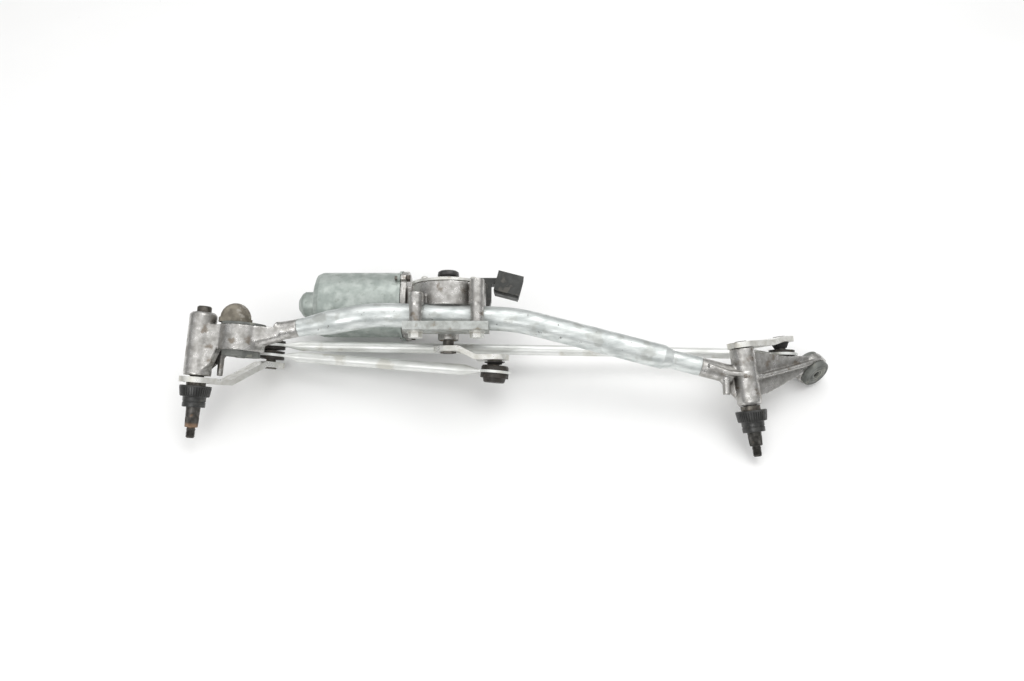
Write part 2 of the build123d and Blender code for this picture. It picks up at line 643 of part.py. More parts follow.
def output_shaft():
    low, high, r = WORM_Z - WHEEL_T / 2 - 3, CRANK_Z + CRANK_T + 1.2, OUT_SHAFT_R
    return SHAFT * turned([(0, low), (r, low), (r, high - 1), (r - 1, high), (0, high)])


def crank_nut():
    z = CRANK_Z + CRANK_T + SEAT
    wide, thick = CRANK_NUT
    return SHAFT * (hexagon(wide, z, z + thick) - disc(OUT_SHAFT_R + SEAT, z - 1, z + 5))


def worm_wheel():
    """Moulded worm wheel: toothed rim, thin web and hub."""
    tip = WORM_D - SHAFT_D - WORM_R - FREE
    z0, z1 = WORM_Z - WHEEL_T / 2, WORM_Z + WHEEL_T / 2
    body = ring(tip - 1.3, OUT_SHAFT_R + SEAT, z0, z1)
    for low, high in ((z0 - 1, z0 + 2.4), (z1 - 2.4, z1 + 1)):
        body -= ring(tip - 4.6, OUT_SHAFT_R + 4.5, low, high)
    tooth = Pos(tip - 0.75, 0, WORM_Z) * Box(1.5, 1.25, WHEEL_T)
    for k in range(WHEEL_TEETH):
        body += Rot(0, 0, k * 360 / WHEEL_TEETH) * tooth
    return SHAFT * body


# ---- gear case --------------------------------------------------------------------------------------
FLANGE_X = YOKE_X[1] + RIM_T


def lug_places(x):
    """The two screw places on the yoke's rim."""
    return [along_x(Rot(0, 0, a) * Pos(LUG_PCD_R, 0, 0), x) for a in LUG_TURNS]


def cover_screw_places():
    return [SHAFT * Rot(0, 0, a) * Pos(SCREW_RING, 0, 0) for a in COVER_SCREWS]


def gear_case():
    """Cast gear case: wheel chamber, worm tunnel, nose, yoke flange and the two mounting posts."""
    z0, z1 = CASE_Z
    post_end = bracket_level() - SEAT
    body = SHAFT * disc(CASE_R, z0, z1)
    body += along_x(disc(TUNNEL_R, FLANGE_X, TUNNEL_END))
    body += along_x(disc(FLANGE_R, FLANGE_X, FLANGE_X + FLANGE_T))
    body += block((FLANGE_X + 2, SHAFT_X), (SHAFT_D, WORM_D + 8), (z0, z1))
    for place in lug_places(0):
        body += place * disc(LUG_R, FLANGE_X, FLANGE_X + FLANGE_T)
    body += SHAFT * disc(NOSE_R, z1 - 1, NOSE_END)
    for x, back in zip(POST_X, POST_BACK):
        body += block((x - LUG_HALF, x + LUG_HALF), (POST_D, SHAFT_D), (back, z1 + 1))
        body += at(x, POST_D, 0) * disc(LUG_HALF, back, z1 + 1)
    body -= tube_run(TUBE_R + FREE)
    for x in POST_X:
        body += at(x, POST_D, 0) * disc(POST_R, z1 - 3, post_end)
        body -= at(x, POST_D, 0) * disc(BOLT_R + SEAT, post_end - 14, post_end + 1)
    body -= SHAFT * disc(CHAMBER_R, z0 - 1, CHAMBER_END)
    body -= along_x(disc(WORM_R + 1.2, FLANGE_X - 1, TUNNEL_END - 9))
    body -= along_x(disc(ARM_SHAFT_R + RUN, TUNNEL_END - 10, TUNNEL_END - 2))
    body -= along_x(disc(YOKE_R - YOKE_WALL - 1, FLANGE_X - 1, FLANGE_X + 3))
    for place in lug_places(0):
        body -= place * disc(2.2, FLANGE_X - 1, FLANGE_X + FLANGE_T + 1)
    body -= SHAFT * disc(OUT_SHAFT_R + RUN + OUT_BUSH_T + SEAT, z1 - 3, NOSE_END + 1)
    for place in cover_screw_places():
        body -= place * disc(1.7, z0 - 1, z0 + 9)
    return body


def gear_cover():
    """Pressed cover on the back of the gear case, slightly domed."""
    edge = CASE_Z[0] - SEAT
    low, top, r = edge - COVER_T, CASE_Z[0] - DOME_TOP, CASE_R + 0.6
    body = turned([(0, top), (14, top + 0.9), (22, top + 3), (27.5, low), (r, low), (r, edge), (27, edge),
                   (22, top + 5), (14, top + 2.7), (0, top + 1.8)])
    body = SHAFT * body
    for place in cover_screw_places():
        body -= place * disc(1.9, top - 1, edge + 1)
    return body - at(SHAFT_X, PLUG[1], 0) * disc(7 + SEAT, top - 1, edge + 1)


def cover_plug():
    """Black plug in the cover."""
    r, depth = PLUG
    z = CASE_Z[0] - DOME_TOP - 0.3
    head = [(0, z - 4.8), (r - 2.2, z - 4.8), (r - 0.4, z - 3.6), (r, z - 1.4), (r, z)]
    return at(SHAFT_X, depth, 0) * turned(head + [(7, z), (7, z + 4), (0, z + 4)])


def cover_screws():
    z = CASE_Z[0] - SEAT - COVER_T - SEAT
    head = turned([(0, z - 2.4), (2, z - 2.4), (3, z - 1.6), (3, z), (1.6, z), (1.6, z + 9), (0, z + 9)])
    return [place * head for place in cover_screw_places()]


def output_bush():
    inner = OUT_SHAFT_R + RUN
    return SHAFT * ring(inner + OUT_BUSH_T, inner, CASE_Z[1] - 1.8, NOSE_END - 0.5)


# ---- motor ------------------------------------------------------------------------------------------
def motor_yoke():
    """Deep-drawn steel yoke with an end boss and a flanged rim."""
    x0, x1 = YOKE_X
    r, t, (c, cap) = YOKE_R, YOKE_WALL, YOKE_CAP
    inner = cap - t - 5
    rim = FLANGE_X - SEAT
    boss = [(0, x0 - cap), (c - 6.5, x0 - cap), (c - 1.6, x0 - cap + 3.4), (c, x0 - cap + 6), (c, x0)]
    can = [(r - 6, x0), (r - 1.8, x0 + 1.8), (r, x0 + 6), (r, x1), (RIM_R, x1), (RIM_R, rim)]
    inside = [(r - t, rim), (r - t, x0 + 6), (r - t - 4, x0 + t), (c - t, x0 + t), (c - t, x0 - inner)]
    body = along_x(turned(boss + can + inside + [(0, x0 - inner)]))
    for place in lug_places(0):
        body += place * disc(LUG_R, x1, rim)
    body -= along_x(disc(r - t, x0 + 6, FLANGE_X + 1))
    for place in lug_places(0):
        body -= place * disc(2.2, x1 - 1, FLANGE_X + 1)
    return body


def yoke_screws():
    x = FLANGE_X + FLANGE_T + SEAT
    screw = hexagon(3.6, x, x + 3.2) + disc(2.0, x - FLANGE_T - 5.5, x + 1)
    return [place * screw for place in lug_places(0)]


def magnets():
    """Two ferrite arcs bonded inside the yoke."""
    outer = YOKE_R - YOKE_WALL - SEAT
    tube = ring(outer, outer - MAGNET_T, YOKE_X[0] + 12, YOKE_X[0] + 66)
    gap = Pos(0, 0, YOKE_X[0] + 39) * Box(80, 14, 60)
    return [along_x(piece) for piece in (tube - gap).solids()]


def armature_shaft():
    """Armature shaft with its worm, running from the yoke's end boss into the gear case."""
    a = ARM_SHAFT_R
    near, far = YOKE_X[0] - YOKE_CAP[1] + 8, TUNNEL_END - 3
    w0, w1 = SHAFT_X - 17, SHAFT_X + 17
    worm = [(a, w0), (WORM_R, w0 + 1), (WORM_R, w1 - 1), (a, w1)]
    return along_x(turned([(0, near), (a, near)] + worm + [(a, far), (0, far)]))


def armature_core():
    """Laminated core with slots."""
    core = ring(CORE_R, ARM_SHAFT_R + SEAT, YOKE_X[0] + 17, YOKE_X[0] + 61)
    slot = Pos(CORE_R - 3.5, 0, YOKE_X[0] + 39) * Box(9, 2.6, 50)
    for k in range(12):
        core -= Rot(0, 0, 30 * k) * slot
    return along_x(core)


def commutator():
    return along_x(ring(COMMUTATOR_R, ARM_SHAFT_R + SEAT, YOKE_X[1] - 17, YOKE_X[1] - 3))


BRUSH_X = YOKE_X[1] - 9


def radial(low, high, side):
    """A pair of levels on one side of the armature."""
    return tuple(sorted((WORM_Z + side * low, WORM_Z + side * high)))


def brush_holder():
    """Moulded ring that guides the two brushes."""
    body = along_x(ring(YOKE_R - YOKE_WALL - SEAT, COMMUTATOR_R + 4, BRUSH_X, BRUSH_X + 5))
    for side in (-1, 1):
        body += block((BRUSH_X - 5, BRUSH_X + 1), (WORM_D - 5, WORM_D + 5), radial(13, 24, side))
        body -= block((BRUSH_X - 4, BRUSH_X + 6), (WORM_D - 3, WORM_D + 3), radial(10, 22, side))
    return body


def brushes():
    low = COMMUTATOR_R + FREE
    wide = (WORM_D - 2.8, WORM_D + 2.8)
    return [block((BRUSH_X - 3.8, BRUSH_X + 4), wide, radial(low, 21.5, side)) for side in (-1, 1)]


def rear_bearing():
    outer = YOKE_CAP[0] - YOKE_WALL - SEAT
    return along_x(ring(outer, ARM_SHAFT_R + RUN, YOKE_X[0] - 4.6, YOKE_X[0] + 1.6))


# ---- bracket and connector --------------------------------------------------------------------------
def motor_bracket():
    """Pressed steel bracket under the tube, with a turned-up front lip and two bolt holes."""
    z = bracket_level()
    top = z + BRACKET_T
    near = POST_D - 9
    body = block(BRACKET_X, (near, 7), (z, top))
    body += block(BRACKET_X, (near - BRACKET_T, near), (top - LIP_DROP, top))
    body += block((BRACKET_X[0] + 8, BRACKET_X[1] - 8), (-5, 5), (z - 3, z + 0.1))
    body -= tube_run(TUBE_R + SEAT)
    for x in POST_X:
        body -= at(x, POST_D, 0) * disc(BOLT_R + BOLT_PLAY, z - 1, top + 1)
    return body


def motor_bolts():
    """Two flanged hexagon bolts through the bracket into the posts."""
    z = bracket_level() + BRACKET_T + SEAT
    wide, thick = BOLT_FLANGE
    bolt = disc(wide, z, z + thick) + hexagon(BOLT_HEX[0], z + thick, z + thick + BOLT_HEX[1])
    bolt += disc(BOLT_R, z - 14, z + thick)
    return [at(x, POST_D, 0) * bolt for x in POST_X]


def connector_place():
    return at(*CONNECTOR) * Rot(0, CONNECTOR_TILT, 0)


def connector_arm():
    """Moulded arm that carries the plug connector, fixed on the end of the worm tunnel."""
    x = TUNNEL_END + SEAT
    depth = (WORM_D - 12, WORM_D + 6)
    body = block((x, SHAFT_X + 39.5), depth, (-96, -62))
    body += block((SHAFT_X + 28, SHAFT_X + 51), depth, (-97, -91))
    beyond = CONNECTOR_BOX[0] + 40 + 2 * SEAT
    return body - connector_place() * Pos(20, 0, 0) * Box(beyond, 80, 80)


def connector_housing():
    """Plug connector: a box with an open mouth and a stepped latch edge."""
    long, deep, tall = CONNECTOR_BOX
    w = CONNECTOR_WALL
    shell = Box(long, deep, tall) + Pos(0.5, 0, tall / 2 + 1) * Box(long - 1.5, deep - 6, 2.4)
    return connector_place() * (shell - Pos(w, 0, 0) * Box(long, deep - 2 * w, tall - 2 * w))


def terminals():
    floor = -CONNECTOR_BOX[0] / 2 + CONNECTOR_WALL + SEAT
    pin = Pos(floor + PIN_BOX[0] / 2, 0, 0) * Box(*PIN_BOX)
    return [connector_place() * Pos(0, y, z) * pin for y in (-6, -2, 2, 6) for z in (-3, 3)]


NODES = {
    "frame_tube": frame_tube(),
    "left_housing": left_housing(),
    "right_housing": right_housing(),
    "left_spindle_bushes": bushes(LEFT_BOSS, LEFT),
    "right_spindle_bushes": bushes(RIGHT_BOSS, RIGHT),
    "left_end_cap": left_end_cap(),
    "left_mount_grommet": left_grommet(),
    "left_mount_dome": left_dome(),
    "left_mount_sleeve": left_sleeve(),
    "right_mount_grommet": right_grommet(),
    "right_mount_sleeve": right_sleeve(),
    "motor_bracket": motor_bracket(),
    "motor_bolts": motor_bolts(),
    "gear_case": gear_case(),
    "gear_case_cover": gear_cover(),
    "cover_plug": cover_plug(),
    "cover_screws": cover_screws(),
    "output_shaft_bush": output_bush(),
    "motor_yoke": motor_yoke(),
    "yoke_screws": yoke_screws(),
    "magnets": magnets(),
    "rear_bearing": rear_bearing(),
    "brush_holder": brush_holder(),
    "brushes": brushes(),
    "connector_arm": connector_arm(),
    "connector_housing": connector_housing(),
    "connector_terminals": terminals(),
    "armature_shaft": armature_shaft(),
    "armature_core": armature_core(),
    "commutator": commutator(),
    "worm_wheel": worm_wheel(),
    "output_shaft": output_shaft(),
    "motor_crank": crank_arm(),
    "crank_nut": crank_nut(),
    "drive_link_rod": link_rod(*DRIVE),
    "drive_link_lever_socket": socket(*DRIVE, 0, BALL_R + BALL_RUN),
    "drive_link_crank_socket": crank_socket(),
    "crank_ball_stud": crank_stud(),
    "crank_ball_boot": crank_boot(),
    "left_spindle": spindle(LEFT_BOSS[0] + 2, LEFT_RING_Z, LEFT_TIP, LEFT),
    "left_lever": spindle_lever((LEFT_LEVER_Z, LEFT_LEVER_END_Z), LEVER_ROOT_R, LEFT, LEFT_BENDS),
    "left_lever_ball_stud": left_stud(),
    "left_retaining_washer": washer(LEFT, LEFT_LEVER_Z + LEVER_T, LEFT_RING_Z, LEFT_WASHER_R),
    "left_splash_cap": splash_cap(LEFT_RING_Z, LEFT),
    "long_link_rod": link_rod(*LONG),
    "long_link_left_socket": socket(*LONG, 0, BALL_R + BALL_RUN),
    "long_link_right_socket": socket(*LONG, math.dist(*LONG), BALL_R + LOOSE_BALL_RUN),
    "right_spindle": spindle(RIGHT_LEVER_Z - 1, RIGHT_RING_Z, RIGHT_TIP, RIGHT),
    "right_lever": spindle_lever((RIGHT_LEVER_Z, RIGHT_LEVER_END_Z), RIGHT_ROOT_R, RIGHT, RIGHT_BENDS),
    "right_lever_ball_stud": right_stud(),
    "right_stud_boot": right_boot(),
    "right_retaining_washer": washer(RIGHT, RIGHT_BOSS[1] + FREE, RIGHT_RING_Z, RIGHT_WASHER_R),
    "right_splash_cap": splash_cap(RIGHT_RING_Z, RIGHT),
}


def whole(shape):
    """One compound of a node's solids."""
    pieces = shape if isinstance(shape, list) else [shape]
    return Compound(children=[s for p in pieces for s in p.solids()])


LIE = Rot(90 + LIE_TILT, 0, 0)
BOX = Compound(children=[LIE * whole(shape) for shape in NODES.values()]).bounding_box()
HOME = Pos(-(BOX.min.X + BOX.max.X) / 2, -(BOX.min.Y + BOX.max.Y) / 2, -BOX.min.Z) * LIE

if __name__ == "__main__":
    os.makedirs("parts", exist_ok=True)
    for name, shape in NODES.items():
        export_step(HOME * whole(shape), f"parts/{name}.step")
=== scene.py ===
import bpy
import json
import math
import numpy as np
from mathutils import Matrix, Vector


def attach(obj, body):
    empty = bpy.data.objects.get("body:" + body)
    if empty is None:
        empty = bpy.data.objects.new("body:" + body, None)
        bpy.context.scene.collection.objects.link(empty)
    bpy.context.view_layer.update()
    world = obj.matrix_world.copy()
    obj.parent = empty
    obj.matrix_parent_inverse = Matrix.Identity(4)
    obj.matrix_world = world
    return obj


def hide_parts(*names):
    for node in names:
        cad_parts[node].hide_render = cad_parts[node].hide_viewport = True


# Windshield wiper assembly: gear motor, bent tube frame, two cast spindle housings and the crank linkage.
# Metres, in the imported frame: +Z up, +X from the left spindle to the right one.

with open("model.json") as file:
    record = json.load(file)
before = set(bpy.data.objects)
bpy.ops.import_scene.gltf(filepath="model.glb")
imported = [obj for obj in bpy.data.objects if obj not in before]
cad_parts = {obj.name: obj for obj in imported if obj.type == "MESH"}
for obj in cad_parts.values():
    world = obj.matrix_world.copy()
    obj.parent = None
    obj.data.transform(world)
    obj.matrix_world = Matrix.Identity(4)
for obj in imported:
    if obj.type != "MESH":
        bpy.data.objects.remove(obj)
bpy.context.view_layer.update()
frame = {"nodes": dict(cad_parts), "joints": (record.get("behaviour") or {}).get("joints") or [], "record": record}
nodes = frame["nodes"]
joints = {j["name"]: j for j in frame["joints"]}

# ---- table -------------------------------------------------------------------------------------------------
# The assembly lies on a plain white table top of smooth sheet, which carries faint scuffs.
# It is one flat sheet, far wider than the view.
TABLE_HALF = 6.0

# What every finish below shares.
DRIFT_BAND = (0.36, 0.64)       # the patches' noise, from the pale colour to the dark one
SPOT_EDGE = 0.08                # how far above its threshold a stain or fleck is full
BAND_BREAK = (0.30, 0.55, 0.25, 1.0)    # the patches' noise, and the share of a band that it leaves
CORNER_BAND = (0.95, 0.35)      # ambient occlusion, from no painted shade to full painted shade
CORNER_SAMPLES = 6
DRIFT_DETAIL = 4
SPOT_DETAIL = 5
GRAIN_DETAIL = 3
SHARE, FIRST, SECOND, MIXED = 0, 6, 7, 2    # sockets of a Mix node in colour mode

table_mesh = bpy.data.meshes.new("table_top")
table_mesh.from_pydata([(-TABLE_HALF, -TABLE_HALF, 0), (TABLE_HALF, -TABLE_HALF, 0),
                        (TABLE_HALF, TABLE_HALF, 0), (-TABLE_HALF, TABLE_HALF, 0)], [], [(0, 1, 2, 3)])
table = bpy.data.objects.new("table_top", table_mesh)
bpy.context.scene.collection.objects.link(table)


def finish(name, pale, dark, patch, rough, grain, relief, metal=0.0, stain=None, stretch=(1, 1, 1), corner_shade=None,
           fleck=None, band=None):
    """A finish on Object coordinates. A noise of the given patch size mixes the pale and dark colours and sets the
    roughness between its two values. A stain (colour, size, threshold, strength) lies where a second noise is
    above its threshold, and flecks do the same more finely. Painted shade (colour, reach, strength) darkens the
    corners, from ambient occlusion. A band (colour, attribute) lies where that attribute of the mesh says, broken up
    by the drift. Bump is a noise of the grain's size, relief metres high."""
    material = bpy.data.materials.new(name)
    material.use_nodes = True
    tree = material.node_tree
    wire = tree.links.new
    shader = tree.nodes["Principled BSDF"]
    place = tree.nodes.new("ShaderNodeTexCoord")
    stretched = tree.nodes.new("ShaderNodeMapping")
    stretched.inputs["Scale"].default_value = stretch
    wire(place.outputs["Object"], stretched.inputs["Vector"])

    def noise(size, detail, where):
        texture = tree.nodes.new("ShaderNodeTexNoise")
        texture.inputs["Scale"].default_value = 1 / size
        texture.inputs["Detail"].default_value = detail
        wire(where, texture.inputs["Vector"])
        return texture.outputs["Fac"]

    def between(value, low, high, out_low=0.0, out_high=1.0):
        ramp = tree.nodes.new("ShaderNodeMapRange")
        for socket, number in zip(("From Min", "From Max", "To Min", "To Max"), (low, high, out_low, out_high)):
            ramp.inputs[socket].default_value = number
        wire(value, ramp.inputs["Value"])
        return ramp.outputs["Result"]

    def blend(share, first, second):
        mix = tree.nodes.new("ShaderNodeMix")
        mix.data_type = "RGBA"
        for socket, colour in ((mix.inputs[FIRST], first), (mix.inputs[SECOND], second)):
            if isinstance(colour, tuple):
                socket.default_value = (*colour, 1)
            else:
                wire(colour, socket)
        wire(share, mix.inputs[SHARE])
        return mix.outputs[MIXED]

    plain = place.outputs["Object"]
    drift = noise(patch, DRIFT_DETAIL, stretched.outputs["Vector"])
    colour = blend(between(drift, *DRIFT_BAND), pale, dark)
    for spot in (stain, fleck):
        if spot:
            tint, size, threshold, strength = spot
            spots = noise(size, SPOT_DETAIL, plain)
            colour = blend(between(spots, threshold, threshold + SPOT_EDGE, 0, strength), colour, tint)
    if band:
        tint, attribute = band
        share = tree.nodes.new("ShaderNodeAttribute")
        share.attribute_name = attribute
        broken = tree.nodes.new("ShaderNodeMath")
        broken.operation = "MULTIPLY"
        wire(share.outputs["Fac"], broken.inputs[0])
        wire(between(drift, *BAND_BREAK), broken.inputs[1])
        colour = blend(broken.outputs["Value"], colour, tint)
    # Painted shade: where ambient occlusion finds corners, the colour turns towards the given dark tint.
    if corner_shade:
        tint, reach, strength = corner_shade
        corner = tree.nodes.new("ShaderNodeAmbientOcclusion")
        corner.only_local = True
        corner.samples = CORNER_SAMPLES
        corner.inputs["Distance"].default_value = reach
        colour = blend(between(corner.outputs["AO"], *CORNER_BAND, 0, strength), colour, tint)
    wire(colour, shader.inputs["Base Color"])
    wire(between(drift, *DRIFT_BAND, *rough), shader.inputs["Roughness"])
    shader.inputs["Metallic"].default_value = metal
    bump = tree.nodes.new("ShaderNodeBump")
    bump.inputs["Distance"].default_value = relief
    wire(noise(grain, GRAIN_DETAIL, stretched.outputs["Vector"]), bump.inputs["Height"])
    wire(bump.outputs["Normal"], shader.inputs["Normal"])
    return material


table_white = finish("table_white", (0.90, 0.90, 0.895), (0.85, 0.85, 0.845), 0.4, (0.35, 0.5), 0.002, 0.00005,
                     fleck=((0.55, 0.55, 0.55), 0.012, 0.74, 0.5))
table.data.materials.append(table_white)

# ---- light -------------------------------------------------------------------------------------------------
# A white room: even light from all round, while polished metal mirrors a bright ceiling and greyer walls.
# One large soft lamp hangs above the back right, and a weaker one stands at the front left.
CEILING = (1.0, 1.0, 1.0)
WALLS = (0.10, 0.105, 0.11)
WALL_TO_CEILING = (0.18, 0.72)      # heights of a mirrored direction between which the grey turns white
ROOM_LIGHT = 0.93
LAMP_TARGET = (0, 0, 0.05)
SOFT_LAMP = ((0.3, 0.4, 1.6), (1.6, 1.0), 9)        # place, size and power in watts
FRONT_LAMP = ((-0.5, -1.2, 1.1), (0.9, 0.5), 5)

room = bpy.data.worlds.new("white_room")
bpy.context.scene.world = room
room.use_nodes = True
room_tree = room.node_tree
room_wire = room_tree.links.new
direction = room_tree.nodes.new("ShaderNodeTexCoord")
split = room_tree.nodes.new("ShaderNodeSeparateXYZ")
mirrored = room_tree.nodes.new("ShaderNodeValToRGB")
for element, place, colour in zip(mirrored.color_ramp.elements, WALL_TO_CEILING, (WALLS, CEILING)):
    element.position = place
    element.color = (*colour, 1)
ray = room_tree.nodes.new("ShaderNodeLightPath")
shown = room_tree.nodes.new("ShaderNodeMix")
shown.data_type = "RGBA"
shown.inputs[FIRST].default_value = (1, 1, 1, 1)
room_wire(direction.outputs["Generated"], split.inputs["Vector"])
room_wire(split.outputs["Z"], mirrored.inputs["Fac"])
room_wire(ray.outputs["Is Glossy Ray"], shown.inputs[SHARE])
room_wire(mirrored.outputs["Color"], shown.inputs[SECOND])
room_wire(shown.outputs[MIXED], room_tree.nodes["Background"].inputs["Color"])
room_tree.nodes["Background"].inputs["Strength"].default_value = ROOM_LIGHT


def lamp(name, place, size, power):
    """A rectangular soft lamp of the given size at place, turned to the assembly."""
    light = bpy.data.lights.new(name, "AREA")
    light.shape = "RECTANGLE"
    light.size, light.size_y = size
    light.energy = power
    holder = bpy.data.objects.new(name, light)
    holder.location = place
    holder.rotation_euler = (Vector(LAMP_TARGET) - Vector(place)).to_track_quat("-Z", "Y").to_euler()
    bpy.context.scene.collection.objects.link(holder)


lamp("soft_lamp", *SOFT_LAMP)
lamp("front_lamp", *FRONT_LAMP)

# ---- camera ------------------------------------------------------------------------------------------------
# The view looks down at the assembly from the wiper arms' side. It is placed from the left spindle's joint.
VIEW_TURN = math.radians(38)
VIEW_OFFSET = (-0.28366, 0.03152, 0.706)    # the joint from the camera: right, down, and forwards
VIEW_LENS = 27.5625

left_joint = Vector(joints["left_spindle_swing"]["pos_m"])
across = Vector((1, 0, 0))
upwards = Vector((0, math.cos(VIEW_TURN), math.sin(VIEW_TURN)))
forwards = Vector((0, math.sin(VIEW_TURN), -math.cos(VIEW_TURN)))
camera = bpy.data.objects.new("camera", bpy.data.cameras.new("camera"))
camera.data.lens = VIEW_LENS
camera.location = left_joint - (VIEW_OFFSET[0] * across - VIEW_OFFSET[1] * upwards + VIEW_OFFSET[2] * forwards)
camera.rotation_euler = (VIEW_TURN, 0, 0)
bpy.context.scene.collection.objects.link(camera)
bpy.context.scene.camera = camera
bpy.context.scene.view_settings.view_transform = "Standard"

# ---- frame tube --------------------------------------------------------------------------------------------
# A 22 mm galvanised steel tube, bent twice, swaged down at both ends and crimped over the housings' spigots.
# Its zinc is dull and bluish, streaked along its length, with small dark nicks.


def dress(material, *names):
    """Gives CAD nodes a material."""
    for name in names:
        piece = nodes[name]
        if not piece.material_slots:
            piece.data.materials.append(material)
        for slot in piece.material_slots:
            slot.material = material


tube_zinc = finish("tube_zinc", (0.74, 0.77, 0.755), (0.50, 0.53, 0.52), 0.006, (0.34, 0.52), 0.0011, 0.00012,
                   metal=0.65, stretch=(0.35, 1, 1), stain=((0.38, 0.39, 0.36), 0.014, 0.56, 0.5),
                   fleck=((0.06, 0.055, 0.05), 0.0040, 0.68, 0.9))
dress(tube_zinc, "frame_tube")

# ---- housings ----------------------------------------------------------------------------------------------
# Die-cast aluminium, soft at every edge, with a grainy skin, patches of brown road dirt, and painted shade darkening
# its corners.
# Each slides into the tube with a spigot and carries a spindle in two bushes.
CAST_GRAIN = 0.0009         # voxel size of the cast skin
CAST_RELAX = (0.5, 5)       # how far towards its neighbours' mean a vertex goes each time, and how many times
SAME_POINT = 1e-6


def cast_skin(name, node):
    """The node's surface made of one closed skin on a voxel grid, then relaxed so that its edges are soft."""
    piece = bpy.data.objects.new(name, nodes[node].data.copy())
    bpy.context.scene.collection.objects.link(piece)
    weld = piece.modifiers.new("weld", "WELD")
    weld.merge_threshold = SAME_POINT
    skin = piece.modifiers.new("skin", "REMESH")
    skin.mode = "VOXEL"
    skin.voxel_size = CAST_GRAIN
    skin.use_smooth_shade = True
    relax = piece.modifiers.new("relax", "SMOOTH")
    relax.factor, relax.iterations = CAST_RELAX
    view = bpy.context.evaluated_depsgraph_get()
    made = bpy.data.meshes.new_from_object(piece.evaluated_get(view))
    piece.modifiers.clear()
    piece.data = made
    piece.data.materials.clear()
    return piece


# The cast finish carries painted shade: near-black colour in its corners, from ambient occlusion.
cast_grey = finish("cast_aluminium", (0.60, 0.59, 0.57), (0.34, 0.33, 0.31), 0.006, (0.24, 0.42), 0.0010, 0.00022,
                   metal=0.85, stain=((0.20, 0.16, 0.12), 0.010, 0.60, 0.7),
                   corner_shade=((0.045, 0.038, 0.03), 0.008, 0.9), fleck=((0.72, 0.72, 0.71), 0.0022, 0.64, 0.35))
for side in ("left", "right"):
    housing = cast_skin(f"{side}_cast_housing", f"{side}_housing")
    housing.data.materials.append(cast_grey)
    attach(housing, "frame")
    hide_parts(f"{side}_housing")

# ---- bushes and end cap ------------------------------------------------------------------------------------
# Sintered bronze bushes pressed into the bosses, and a dark steel cap closing the left boss behind.
bush_bronze = finish("bush_bronze", (0.50, 0.36, 0.19), (0.36, 0.25, 0.13), 0.004, (0.4, 0.55), 0.0006, 0.00005,
                     metal=0.8)
oiled_steel = finish("oiled_steel", (0.17, 0.16, 0.14), (0.09, 0.08, 0.07), 0.005, (0.30, 0.5), 0.0008, 0.00006,
                     metal=0.8, stain=((0.20, 0.11, 0.05), 0.007, 0.62, 0.6))
dress(bush_bronze, "left_spindle_bushes", "right_spindle_bushes")
dress(oiled_steel, "left_end_cap")

# ---- rubber mounts -----------------------------------------------------------------------------------------
# Moulded rubber, matt and dusty, gripping the ears of the housings round a dull steel spacer.
# The rubber's corners get painted shade, near black, from ambient occlusion.
mount_rubber = finish("mount_rubber", (0.165, 0.172, 0.158), (0.095, 0.10, 0.092), 0.008, (0.5, 0.7), 0.0012,
                      0.00010, stain=((0.24, 0.24, 0.20), 0.010, 0.56, 0.6), corner_shade=((0.02, 0.02, 0.018), 0.004, 0.8))
dome_rubber = finish("dome_rubber", (0.24, 0.215, 0.17), (0.13, 0.115, 0.09), 0.007, (0.6, 0.8), 0.0012, 0.00012,
                     stain=((0.40, 0.38, 0.34), 0.008, 0.57, 0.6))
# The plated finish gets painted shade, brownish, in its corners, from ambient occlusion.
plated_steel = finish("plated_steel", (0.82, 0.82, 0.79), (0.60, 0.59, 0.54), 0.008, (0.26, 0.42), 0.0010, 0.00006,
                      metal=0.6, stain=((0.38, 0.34, 0.26), 0.012, 0.62, 0.5),
                      corner_shade=((0.16, 0.13, 0.09), 0.004, 0.6), fleck=((0.20, 0.16, 0.10), 0.0022, 0.70, 0.7))
dress(mount_rubber, "left_mount_grommet")
dress(dome_rubber, "left_mount_dome")
sleeve_grey = finish("sleeve_grey", (0.30, 0.31, 0.29), (0.18, 0.185, 0.17), 0.004, (0.4, 0.55), 0.0008, 0.00006,
                     metal=0.5, stain=((0.10, 0.09, 0.07), 0.004, 0.58, 0.7))
dress(sleeve_grey, "left_mount_sleeve", "right_mount_sleeve")

# ---- spindles ----------------------------------------------------------------------------------------------
# Turned steel, blackened: a smooth journal, a rolled knurl on the taper that grips the wiper arm, and an M8 thread.
# The left one is rusty from the weather. Each turns in its housing's bushes.
MM = 0.001
JOURNAL_R = 6.15 * MM
TAPER_END_R = 5.4 * MM
THREAD_R = 4.0 * MM
THREAD_PITCH = 1.25 * MM
THREAD_DEPTH = 0.65 * MM
THREAD_LENGTH = 9.2 * MM
KNURL_TEETH = 36
KNURL_DEPTH = 0.4 * MM
KNURL_LENGTH = 8.5 * MM
KNURL_FADE = 0.6 * MM
KNURL_LOW = 0.6             # share of the knurl's wave that lies below the taper's surface
RELIEF_DEPTH = 0.5 * MM     # the turned groove between the taper and the thread
RELIEF_LENGTH = 1.2 * MM
CHAMFER = 1.0 * MM
SPINDLE_STEPS = 216         # round the axis
TAPER_ROWS = 40
THREAD_ROWS = 120
# Back end, start of the taper and tip, along the axis towards the arm, from the joint's place.
SPINDLES = {"left": (-55.5 * MM, 28.5 * MM, 55.9 * MM), "right": (-31.0 * MM, 50.9 * MM, 72.7 * MM)}
SHARP_ANGLE = math.radians(38)


def axes_from(place, direction):
    """A place, the direction along the axis, and two directions square to it."""
    along = np.array(direction, float)
    sideways = np.array((1.0, 0, 0)) - along[0] * along
    sideways /= np.linalg.norm(sideways)
    return np.array(place, float), along, sideways, np.cross(along, sideways)


def swing_axes(side):
    """The spindle's axes, pointing towards the wiper arm, from its joint."""
    joint = joints[f"{side}_spindle_swing"]
    return axes_from(joint["pos_m"], [-part for part in joint["axis"]])


